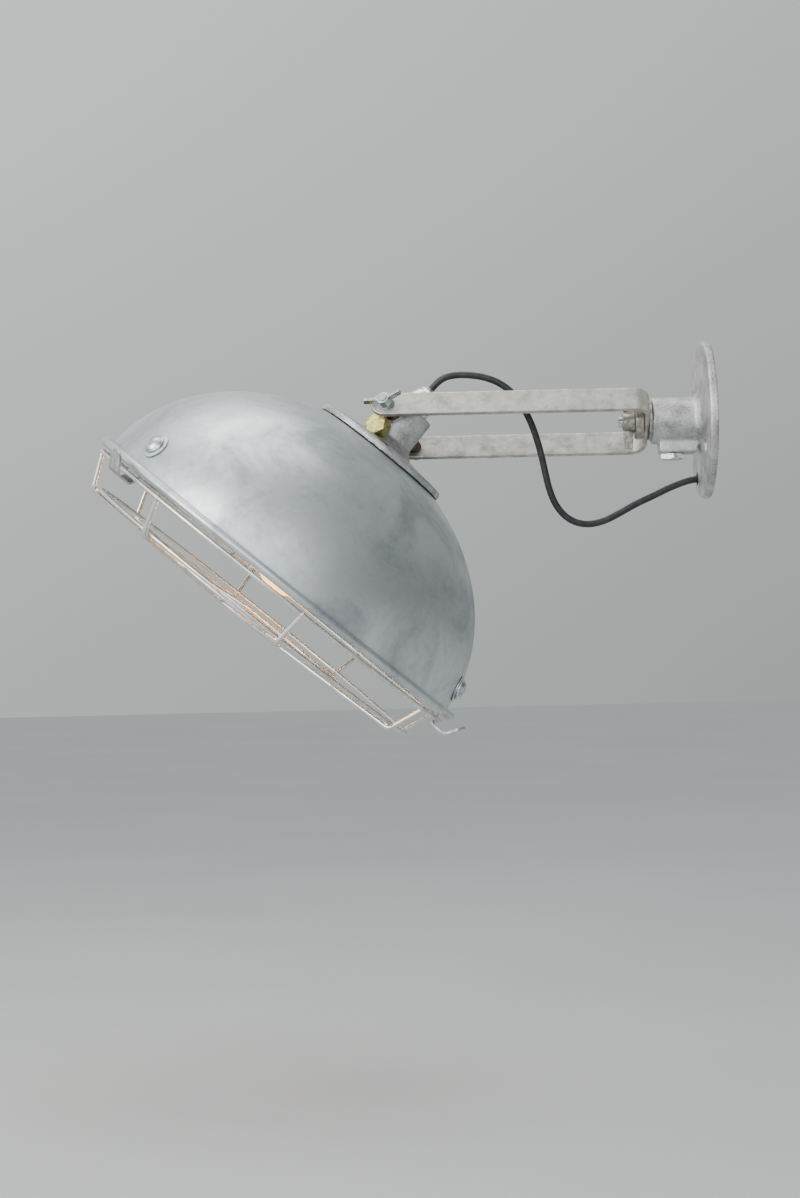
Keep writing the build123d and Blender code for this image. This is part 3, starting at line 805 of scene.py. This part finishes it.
def lathe(
    name: str,
    outline: Sequence[tuple[float, float]],
    steps: int,
    closed: bool = True,
) -> bpy.types.Mesh:
    """Turn an outline about the head's axis.

    Args:
        name: the mesh's name.
        outline: (radius, height) pairs in metres; a radius of 0 makes a pole.
        steps: facets round the axis.
        closed: whether the last point joins the first.

    Returns:
        A closed mesh in the lamp's frame.
    """
    made = bmesh.new()
    rings = []
    for radius, height in outline:
        if radius == 0:
            rings.append([made.verts.new(HEAD.point(0, height, 0))])
            continue
        around = [HEAD.point(radius, height, 360 * step / steps) for step in range(steps)]
        rings.append([made.verts.new(point) for point in around])
    pairs = list(zip(rings, rings[1:])) + ([(rings[-1], rings[0])] if closed else [])
    for lower, upper in pairs:
        for step in range(steps):
            after = (step + 1) % steps
            corners = [lower[turn % len(lower)] for turn in (step, after)]
            corners += [upper[turn % len(upper)] for turn in (after, step)]
            unique = list(dict.fromkeys(corners))
            if len(unique) > 2:
                made.faces.new(unique)
    bmesh.ops.recalc_face_normals(made, faces=made.faces)
    mesh = bpy.data.meshes.new(name)
    made.to_mesh(mesh)
    made.free()
    return mesh


def wire_tube(
    name: str,
    path: Sequence[Vector],
    radius: float,
    sides: int = 14,
    ring: bool = False,
) -> bpy.types.Mesh:
    """Sweep a round section along points, without twist.

    Args:
        name: the mesh's name.
        path: the centreline's points, close together.
        radius: the section's radius.
        sides: its facets.
        ring: whether the path closes on itself.

    Returns:
        The tube, with slightly rounded ends when it isn't a ring.
    """
    made = bmesh.new()
    count = len(path)
    across = None
    rings = []
    for index, here in enumerate(path):
        before = path[index - 1] if index or ring else here
        after = path[(index + 1) % count] if index < count - 1 or ring else here
        along = (after - before).normalized()
        seed = along.orthogonal() if across is None else across
        across = (seed - along * seed.dot(along)).normalized()
        other = along.cross(across)
        turns = [2 * math.pi * side / sides for side in range(sides)]
        around = [across * math.cos(turn) + other * math.sin(turn) for turn in turns]
        rings.append([made.verts.new(here + radius * out) for out in around])
    pairs = list(zip(rings, rings[1:]))
    if ring:
        # The section comes back turned by a little, so the last ring joins the first at the nearest vertex.
        shift = min(range(sides), key=lambda s: (rings[0][s].co - rings[-1][0].co).length)
        pairs.append((rings[-1], rings[0][shift:] + rings[0][:shift]))
    for lower, upper in pairs:
        for side in range(sides):
            after = (side + 1) % sides
            made.faces.new((lower[side], lower[after], upper[after], upper[side]))
    if not ring:
        for end, inner in ((rings[0], path[0] - path[1]), (rings[-1], path[-1] - path[-2])):
            centre = sum((vertex.co for vertex in end), Vector()) / sides
            tip = made.verts.new(centre + inner.normalized() * radius * 0.05)
            for side in range(sides):
                made.faces.new((end[side], end[(side + 1) % sides], tip))
    bmesh.ops.recalc_face_normals(made, faces=made.faces)
    mesh = bpy.data.meshes.new(name)
    made.to_mesh(mesh)
    made.free()
    return smooth(mesh, 60)


@dataclass(frozen=True)
class Skin:
    """How far casting, forging or dipping leaves a piece from its sharp drawing.

    voxel is the size of the remeshed cells and passes counts the smoothing. dent is how far in the surface
    wanders at most, never out, and dent_size is how wide each low place is.
    """

    voxel: float
    passes: int
    dent: float
    dent_size: float = 8 * MM

    def depth(self, place: Vector) -> float:
        """How far in the surface lies at a place."""
        low = noise.noise(place / self.dent_size) * 0.5 + noise.noise(place / (self.dent_size * 0.3)) * 0.25
        return min(1.0, max(0.0, low + 0.5))


def softened(node: str, name: str, skin: Skin) -> bpy.types.Mesh:
    """Copy a CAD node with rounded edges and uneven faces.

    Args:
        node: the CAD node.
        name: the new mesh's name.
        skin: how much it is rounded and dented.

    Returns:
        The new mesh.
    """
    source = frame["nodes"][node].data.copy()
    helper = bpy.data.objects.new(name + "_work", source)
    bpy.context.scene.collection.objects.link(helper)
    remesh = helper.modifiers.new("cells", "REMESH")
    remesh.mode = "VOXEL"
    remesh.voxel_size = skin.voxel
    ease = helper.modifiers.new("ease", "SMOOTH")
    ease.iterations = skin.passes
    ease.factor = 0.5
    graph = bpy.context.evaluated_depsgraph_get()
    mesh = bpy.data.meshes.new_from_object(helper.evaluated_get(graph))
    bpy.data.objects.remove(helper)
    mesh.name = name
    mesh.materials.clear()
    normals = [vertex.normal.copy() for vertex in mesh.vertices]
    for vertex, normal in zip(mesh.vertices, normals):
        vertex.co -= normal * skin.dent * skin.depth(vertex.co)
    for polygon in mesh.polygons:
        polygon.use_smooth = True
    return mesh


# ---- sub-assemblies ------------------------------------------------------------------------------------


@dataclass
class WallMount:
    """The cast flange on the wall, its set screw, grommet and the bolt that the arm turns on."""

    casting: Skin = Skin(0.9 * MM, 3, 0.35 * MM)

    def build(self) -> None:
        """Cast skin on the flange, and finishes on its small parts."""
        mesh = softened("wall_flange", "wall_flange_casting", self.casting)
        put(mesh, "wall_flange_casting", Body.WALL, Finishes.cast, ["wall_flange"])
        dress_nodes(Finishes.zinc, "wall_set_screw", "arm_bolt")
        dress_nodes(Finishes.oxide, "spigot_plug")
        dress_nodes(Finishes.dull_zinc, "friction_washer")
        dress_nodes(Finishes.rubber, "cord_grommet")


@dataclass
class ForkArm:
    """The forked bar with its pivot hardware."""

    dipped: Skin = Skin(0.8 * MM, 2, 0.25 * MM, 12 * MM)
    large_nut: Skin = Skin(0.4 * MM, 6, 0.15 * MM)
    small_nut: Skin = Skin(0.3 * MM, 5, 0.1 * MM)

    def build(self) -> None:
        """Zinc skin on the bar, and forged wing nuts."""
        bar = softened("arm_fork", "arm_fork_bar", self.dipped)
        put(bar, "arm_fork_bar", Body.ARM, Finishes.galvanised, ["arm_fork"])
        wall_nut = softened("arm_wing_nut", "arm_wing_nut_forging", self.large_nut)
        put(wall_nut, "arm_wing_nut_forging", Body.ARM_NUT, Finishes.dull_zinc, ["arm_wing_nut"])
        pivot_nut = softened("pivot_wing_nut", "pivot_wing_nut_forging", self.small_nut)
        put(pivot_nut, "pivot_wing_nut_forging", Body.PIVOT_NUT, Finishes.zinc, ["pivot_wing_nut"])
        dress_nodes(Finishes.dull_zinc, "clamp_washer")
        dress_nodes(Finishes.rusty, "pivot_spacers")
        dress_nodes(Finishes.zinc, "pivot_bolt", "pivot_bevel_washers")


@dataclass
class Shade:
    """The spun dome with its rolled bead."""

    radius: float = 202.5 * MM
    rise: float = 164 * MM
    centre_height: float = -2.5 * MM
    flat_radius: float = 66 * MM
    top_height: float = 153.5 * MM
    wall: float = 1.5 * MM
    hole_radius: float = 14.5 * MM
    bead_radius: float = 4.22 * MM
    bead_centre: float = 208.2 * MM
    steps: int = 288
    rows: int = 60
    first_row: float = 0.016
    shoulder_width: float = 5 * MM
    dent: float = 0.35 * MM
    dent_centre: float = 20 * MM
    dent_sizes: tuple[float, float] = (45 * MM, 17 * MM)
    fade_low: tuple[float, float] = (6 * MM, 25 * MM)
    fade_high: tuple[float, float] = (150 * MM, 15 * MM)

    def curve(self, inset: float, upward: bool) -> list[tuple[float, float]]:
        """The dome's part ellipse, shrunk by the wall for the inner face.

        Args:
            inset: how far inside the outer face.
            upward: from the bead to the crown, or back.

        Returns:
            (radius, height) pairs.
        """
        low = math.asin(-self.centre_height / self.rise) + self.first_row
        high = math.acos(self.flat_radius / self.radius)
        angles = [low + (high - low) * step / self.rows for step in range(self.rows + 1)]
        out, up = self.radius - inset, self.rise - inset
        points = [(out * math.cos(a), self.centre_height + up * math.sin(a)) for a in angles]
        return points if upward else points[::-1]

    def outline(self) -> list[tuple[float, float]]:
        """Outer face, crown, inner face and the rolled bead, as one closed line."""
        shoulder = self.flat_radius - self.shoulder_width
        inner_top = self.top_height - self.wall
        crown = [(shoulder, self.top_height), (self.hole_radius, self.top_height)]
        under = [(self.hole_radius, inner_top), (shoulder - 0.4 * MM, inner_top)]
        turns = [math.radians(a) for a in range(183, 520, 11)]
        size = self.bead_radius
        bead = [(self.bead_centre + size * math.cos(t), size * math.sin(t)) for t in turns]
        lip = [(self.radius - self.wall, 0.1 * MM)]
        return self.curve(0.0, True) + crown + under + self.curve(self.wall, False) + lip + bead

    def knock(self, mesh: bpy.types.Mesh) -> None:
        """Give the shell the shallow dents of an old spinning, none of them at the bead or the crown.

        Args:
            mesh: the shell, changed in place.
        """
        back = HEAD.matrix.inverted()
        axis = HEAD.matrix.to_3x3() @ Vector((0, 0, 1))
        (low, low_run), (high, high_run) = self.fade_low, self.fade_high
        broad, narrow = self.dent_sizes
        for vertex in mesh.vertices:
            height = (back @ vertex.co).z
            outward = (vertex.co - HEAD.origin - axis * (height - self.dent_centre)).normalized()
            fade = min(1.0, max(0.0, (height - low) / low_run))
            fade *= min(1.0, max(0.0, (high - height) / high_run))
            wave = noise.noise(vertex.co / broad) * 0.7 + noise.noise(vertex.co / narrow) * 0.3
            vertex.co += outward * self.dent * wave * fade

    def is_inside(self, local: Vector) -> bool:
        """Whether a point of the shell, in the head's frame, is on its inner face.

        Args:
            local: the point.

        Returns:
            True on the inner face, between the bead and the crown.
        """
        out = math.hypot(local.x, local.y) / self.radius
        squashed = math.hypot(out, (local.z - self.centre_height) / self.rise)
        between = self.bead_radius < local.z < self.top_height - 0.5 * self.wall
        return between and squashed < 1 - 0.5 * self.wall / self.rise

    def build(self) -> None:
        """The lathe-turned shell and the finishes of the screws and nuts that it carries."""
        mesh = lathe("dome_shade_spinning", self.outline(), self.steps)
        self.knock(mesh)
        mesh.materials.append(Finishes.spun.material())
        # The inner face gets the paler, warmer copy: painted glow of the bulb on the inside of the dome.
        mesh.materials.append(Finishes.inside.material())
        back = HEAD.matrix.inverted()
        for polygon in mesh.polygons:
            polygon.material_index = 1 if self.is_inside(back @ polygon.center) else 0
        smooth(mesh, 40)
        put(mesh, "dome_shade_spinning", Body.HEAD, Finishes.spun, ["dome_shade"])
        dress_nodes(Finishes.spun, "hook_washers")
        dress_nodes(Finishes.zinc, "hook_screws", "hook_nuts", "casting_screws", "casting_nuts")


@dataclass
class Guard:
    """The wire cage: rings, bent ribs, their welds, and the strip hooks that hold it."""

    wire: float = 2.1 * MM
    top_ring: Ring = (205 * MM, -9.5 * MM)
    low_ring: Ring = (185 * MM, -39 * MM)
    inner_ring: Ring = (118 * MM, -43.6 * MM)
    centre_ring: Ring = (46 * MM, -49.2 * MM)
    rib_angles: tuple[float, ...] = (27, 76.5, 125, 168, 214.5, 259, 300, 343)
    lap_angle: float = 93.0
    lap_degrees: float = 7.0
    lap_lift: float = 1.6 * 2.1 * MM
    bend: float = 7 * MM
    bend_steps: int = 8
    corner_out: float = 5 * MM
    centre_drop: float = 6 * MM
    weld: tuple[float, float] = (2.5 * MM, 3.0 * MM)
    weld_lumps: float = 1.6 * MM

    def ring(self, size: Ring, steps: int = 200) -> list[Vector]:
        """The centreline of a closed ring."""
        radius, height = size
        return [HEAD.point(radius, height, 360 * step / steps) for step in range(steps)]

    def lapped_ring(self, size: Ring, steps: int = 220) -> list[Vector]:
        """The centreline of a ring whose two ends lie one over the other for a short way.

        Args:
            size: its radius and height.
            steps: how many runs it has.

        Returns:
            Points from the raised end round to the other one.
        """
        radius, height = size
        sweep = 360 + self.lap_degrees
        start = self.lap_angle - self.lap_degrees / 2
        points = []
        for step in range(steps + 1):
            share = step / steps
            settled = 0.5 * (1 - math.cos(math.pi * min(1.0, share * sweep / self.lap_degrees / 1.6)))
            lift = (1 - settled) * self.lap_lift
            points.append(HEAD.point(radius, height + lift, start + share * sweep))
        return points

    def rib(self, azimuth: float) -> list[Vector]:
        """One rib: down from the top ring, round a bend, and in to the centre ring.

        Args:
            azimuth: where it stands round the head's axis, in degrees.

        Returns:
            Its centreline.
        """
        top, low = self.top_ring, self.low_ring
        drop = low[1] - 2 * self.wire
        corner = Vector((low[0] + self.corner_out, drop))
        start = Vector(top)
        end = Vector((self.centre_ring[0], drop - self.centre_drop))
        arrive, leave = (start - corner).normalized(), (end - corner).normalized()
        half = arrive.angle(leave) / 2
        reach = self.bend / math.tan(half)
        first, last = corner + arrive * reach, corner + leave * reach
        middle = corner + (arrive + leave).normalized() * (self.bend / math.sin(half))
        arc = []
        for step in range(self.bend_steps + 1):
            turn = (first - middle).lerp(last - middle, step / self.bend_steps).normalized() * self.bend
            arc.append(middle + turn)
        floor = [last.lerp(end, step / 8) for step in range(1, 9)]
        flat = [start, start.lerp(first, 0.5), *arc, *floor]
        return [HEAD.point(radius, height, azimuth) for radius, height in flat]

    def welds(self) -> bpy.types.Mesh:
        """A small uneven bead of weld where each rib meets each ring."""
        made = bmesh.new()
        rng = random.Random(11)
        drop = self.low_ring[1] - self.wire
        seats = [
            self.top_ring,
            (self.low_ring[0] + 1 * MM, drop),
            (self.inner_ring[0], self.inner_ring[1] - self.wire),
            self.centre_ring,
        ]
        for azimuth in self.rib_angles:
            for radius, height in seats:
                place = HEAD.point(radius, height, azimuth)
                size = rng.uniform(*self.weld)
                spot = Matrix.Translation(place)
                bead = bmesh.ops.create_icosphere(made, subdivisions=3, radius=size, matrix=spot)
                for vertex in bead["verts"]:
                    away = vertex.co - place
                    vertex.co = place + away * (1 + 0.22 * noise.noise(vertex.co / self.weld_lumps))
        mesh = bpy.data.meshes.new("guard_welds")
        made.to_mesh(mesh)
        made.free()
        return smooth(mesh, 80)

    def build(self) -> None:
        """Rings, ribs and welds, and the finish of the hooks."""
        rings = {
            "guard_top_ring": self.ring(self.top_ring),
            "guard_inner_ring": self.ring(self.inner_ring, 140),
            "guard_centre_ring": self.ring(self.centre_ring, 80),
        }
        for node, path in rings.items():
            mesh = wire_tube(node + "_wire", path, self.wire, ring=True)
            put(mesh, node + "_wire", Body.HEAD, Finishes.wire, [node])
        low = wire_tube("guard_low_ring_wire", self.lapped_ring(self.low_ring), self.wire)
        put(low, "guard_low_ring_wire", Body.HEAD, Finishes.wire, ["guard_low_ring"])
        ribs = bpy.data.meshes.new("guard_rib_wires")
        joined = bmesh.new()
        for azimuth in self.rib_angles:
            rib = wire_tube("rib", self.rib(azimuth), self.wire)
            joined.from_mesh(rib)
            bpy.data.meshes.remove(rib)
        joined.to_mesh(ribs)
        joined.free()
        put(smooth(ribs, 60), "guard_rib_wires", Body.HEAD, Finishes.wire, ["guard_ribs"])
        put(self.welds(), "guard_welds", Body.HEAD, Finishes.wire)
        dress_nodes(Finishes.spring, "guard_hooks")


@dataclass
class Neck:
    """The cast socket on the shade, its set screw and the cord gland."""

    casting: Skin = Skin(0.9 * MM, 3, 0.35 * MM)
    hexagon: Skin = Skin(0.35 * MM, 3, 0.12 * MM, 3 * MM)

    def build(self) -> None:
        """Cast skin on the socket, and finishes on what it holds."""
        mesh = softened("head_socket", "head_socket_casting", self.casting)
        put(mesh, "head_socket_casting", Body.HEAD, Finishes.cast, ["head_socket"])
        screw = softened("head_set_screw", "head_set_screw_hex", self.hexagon)
        put(screw, "head_set_screw_hex", Body.HEAD, Finishes.yellow, ["head_set_screw"])
        dress_nodes(Finishes.turned, "gland_body", "gland_nut")
        dress_nodes(Finishes.rubber, "head_gasket")


@dataclass
class Lamp:
    """The bulb in its porcelain holder."""

    glow_height: float = 23 * MM
    glow_radius: float = 20 * MM
    glow_colour: str = "ffb35c"
    power: float = 4.0

    def build(self) -> None:
        """Finishes of the holder and bulb, and the light that the bulb gives."""
        dress_nodes(Finishes.porcelain, "lampholder_body")
        dress_nodes(
            Finishes.brass,
            "lampholder_shell",
            "lampholder_contact",
            "bulb_cap",
            "nipple_tube",
            "nipple_locknut",
        )
        dress_nodes(Finishes.glass, "bulb_glass")
        dress_nodes(Finishes.glow, "bulb_filament")
        light = bpy.data.lights.new("bulb_light", "POINT")
        light.energy = self.power
        light.shadow_soft_size = self.glow_radius
        light.color = linear(self.glow_colour)[:3]
        lit = bpy.data.objects.new("bulb_light", light)
        lit.location = HEAD.point(0, self.glow_height, 0)
        lit.parent = frame["bodies"][Body.HEAD.value]
        bpy.context.scene.collection.objects.link(lit)


@dataclass
class Flex:
    """The black cord, from the gland in the neck to the grommet in the wall flange."""

    radius: float = 3.25 * MM
    split: int = 8
    route: list[Point] = field(
        default_factory=lambda: [
            (-0.26389, 0.0, 0.03493),
            (-0.25598, 0.0, 0.04435),
            (-0.2425, 0.0, 0.0486),
            (-0.2260, 0.0, 0.0482),
            (-0.2110, 0.0, 0.0454),
            (-0.1975, 0.0, 0.0396),
            (-0.1860, 0.0005, 0.0304),
            (-0.1770, 0.0015, 0.0180),
            (-0.1694, 0.0030, 0.0030),
            (-0.1638, 0.0050, -0.0130),
            (-0.1594, 0.0070, -0.0300),
            (-0.1559, 0.0090, -0.0470),
            (-0.1522, 0.0110, -0.0640),
            (-0.1454, 0.0130, -0.0798),
            (-0.1340, 0.0145, -0.0918),
            (-0.1185, 0.0160, -0.0969),
            (-0.1020, 0.0175, -0.0944),
            (-0.0860, 0.0190, -0.0868),
            (-0.0690, 0.0210, -0.0774),
            (-0.0510, 0.0230, -0.0696),
            (-0.0330, 0.0250, -0.0610),
            (-0.0120, 0.0260, -0.0540),
            (-0.0010, 0.0260, -0.0540),
        ]
    )

    def smooth_line(self, points: Sequence[Vector]) -> list[Vector]:
        """Round a route's corners with a NURBS curve.

        Args:
            points: the route, as the curve's control points.

        Returns:
            Points close together along the curve.
        """
        curve = bpy.data.curves.new("route", "CURVE")
        curve.dimensions = "3D"
        curve.resolution_u = 12
        spline = curve.splines.new("NURBS")
        spline.points.add(len(points) - 1)
        for slot, point in zip(spline.points, points):
            slot.co = (*point, 1.0)
        spline.order_u = 3
        spline.use_endpoint_u = True
        holder = bpy.data.objects.new("route", curve)
        bpy.context.scene.collection.objects.link(holder)
        graph = bpy.context.evaluated_depsgraph_get()
        line = bpy.data.meshes.new_from_object(holder.evaluated_get(graph))
        found = [vertex.co.copy() for vertex in line.vertices]
        bpy.data.objects.remove(holder)
        bpy.data.meshes.remove(line)
        return found

    def lay(
        self,
        name: str,
        points: Sequence[Vector],
        node: str,
    ) -> None:
        """Make one length of flex.

        Args:
            name: the piece's name.
            points: its route.
            node: the CAD node that it replaces.
        """
        path = self.smooth_line(points)
        mesh = wire_tube(name, path, self.radius, sides=20)
        piece = bpy.data.objects.new(name, mesh)
        bpy.context.scene.collection.objects.link(piece)
        mesh.materials.append(Finishes.flex.material())
        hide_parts(node)
        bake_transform(piece)

    def build(self) -> None:
        """Split the route into an upper length, by the head's tilt, and a lower one, by the arm's roll."""
        points = [Vector(point) for point in self.route]
        joint = points[self.split].lerp(points[self.split + 1], 0.5)
        upper = [*points[: self.split + 1], joint]
        lower = [joint, *points[self.split + 1 :]]
        self.lay("cord_upper_flex", upper, "cord_upper")
        self.lay("cord_lower_flex", lower, "cord_lower")


# ---- studio --------------------------------------------------------------------------------------------


@dataclass(frozen=True)
class Softbox:
    """A square area light: its name, place, side in metres, power in watts and sRGB hex colour."""

    name: str
    at: Point
    side: float
    watts: float
    colour: str = "ffffff"

    def hang(self, target: Vector) -> None:
        """Add the light to the scene, facing a point.

        Args:
            target: the point.
        """
        data = bpy.data.lights.new(self.name, "AREA")
        data.shape = "SQUARE"
        data.size = self.side
        data.energy = self.watts
        data.color = linear(self.colour)[:3]
        box = bpy.data.objects.new(self.name, data)
        box.location = self.at
        box.rotation_euler = (target - Vector(self.at)).to_track_quat("-Z", "Y").to_euler()
        bpy.context.scene.collection.objects.link(box)


@dataclass
class Studio:
    """Camera, pale floor and soft light."""

    camera_at: Point = (-0.298, -2.150, -0.215)
    pitch_deg: float = 1.35
    roll_deg: float = -1.3
    lens_mm: float = 67.8
    floor_height: float = -0.62
    floor_reach: float = 14.0
    lights: tuple[Softbox, ...] = (
        Softbox("key_left", (-1.9, -1.3, 0.9), 1.6, 42.0),
        Softbox("fill_front", (-0.4, -3.0, 0.8), 2.0, 26.0, "f6f8ff"),
        Softbox("top_soft", (-0.5, 0.2, 1.7), 1.5, 18.0),
    )

    def camera(self) -> None:
        """A long lens level with the shade, looking along +Y."""
        data = bpy.data.cameras.new("camera")
        data.lens = self.lens_mm
        data.sensor_width = 36.0
        seen = bpy.data.objects.new("camera", data)
        bpy.context.scene.collection.objects.link(seen)
        pitch = Matrix.Rotation(math.radians(90 + self.pitch_deg), 4, "X")
        aim = pitch @ Matrix.Rotation(math.radians(self.roll_deg), 4, "Z")
        seen.matrix_world = Matrix.Translation(self.camera_at) @ aim
        bpy.context.scene.camera = seen

    def surroundings(self) -> None:
        """A grey room, brighter above and to the left, which the metal reflects."""
        world = bpy.data.worlds.new("studio")
        bpy.context.scene.world = world
        world.use_nodes = True
        tree = world.node_tree
        place = add_node(tree, "ShaderNodeTexCoord")
        split = add_node(tree, "ShaderNodeSeparateXYZ", {0: place.outputs["Generated"]})
        side = add_node(
            tree, "ShaderNodeMapRange", {"Value": split.outputs["X"], "From Min": 1.0, "From Max": -1.0}
        )
        ramp = add_node(tree, "ShaderNodeValToRGB", {"Fac": side.outputs["Result"]})
        stops = [(0.0, "7c8182"), (0.42, "b6baba"), (0.58, "ccd0d0"), (1.0, "ffffff")]
        tree.links.new(set_stops(ramp, stops), tree.nodes["Background"].inputs["Color"])
        height = add_node(
            tree,
            "ShaderNodeMapRange",
            {"Value": split.outputs["Z"], "From Min": -0.1, "From Max": 0.4, "To Min": 0.86, "To Max": 1.4},
            interpolation_type="SMOOTHSTEP",
        )
        tree.links.new(height.outputs["Result"], tree.nodes["Background"].inputs["Strength"])

    def floor(self) -> None:
        """A wide pale floor below the lamp."""
        made = bmesh.new()
        level = Matrix.Translation((0, 0, self.floor_height))
        bmesh.ops.create_grid(made, x_segments=8, y_segments=8, size=self.floor_reach, matrix=level)
        mesh = bpy.data.meshes.new("floor")
        made.to_mesh(mesh)
        made.free()
        mesh.materials.append(Finishes.floor.material())
        ground = bpy.data.objects.new("floor", mesh)
        bpy.context.scene.collection.objects.link(ground)

    def build(self) -> None:
        """Camera first, then floor, surroundings and lights."""
        self.camera()
        self.floor()
        self.surroundings()
        for light in self.lights:
            light.hang(HEAD.origin)


def main() -> None:
    """Build the studio, then the lamp from the wall outwards."""
    logging.basicConfig(level=logging.INFO)
    for part in (Studio(), Flex(), WallMount(), ForkArm(), Neck(), Shade(), Guard(), Lamp()):
        part.build()
        log.info("%s built", type(part).__name__)


if __name__ == "__main__":
    main()
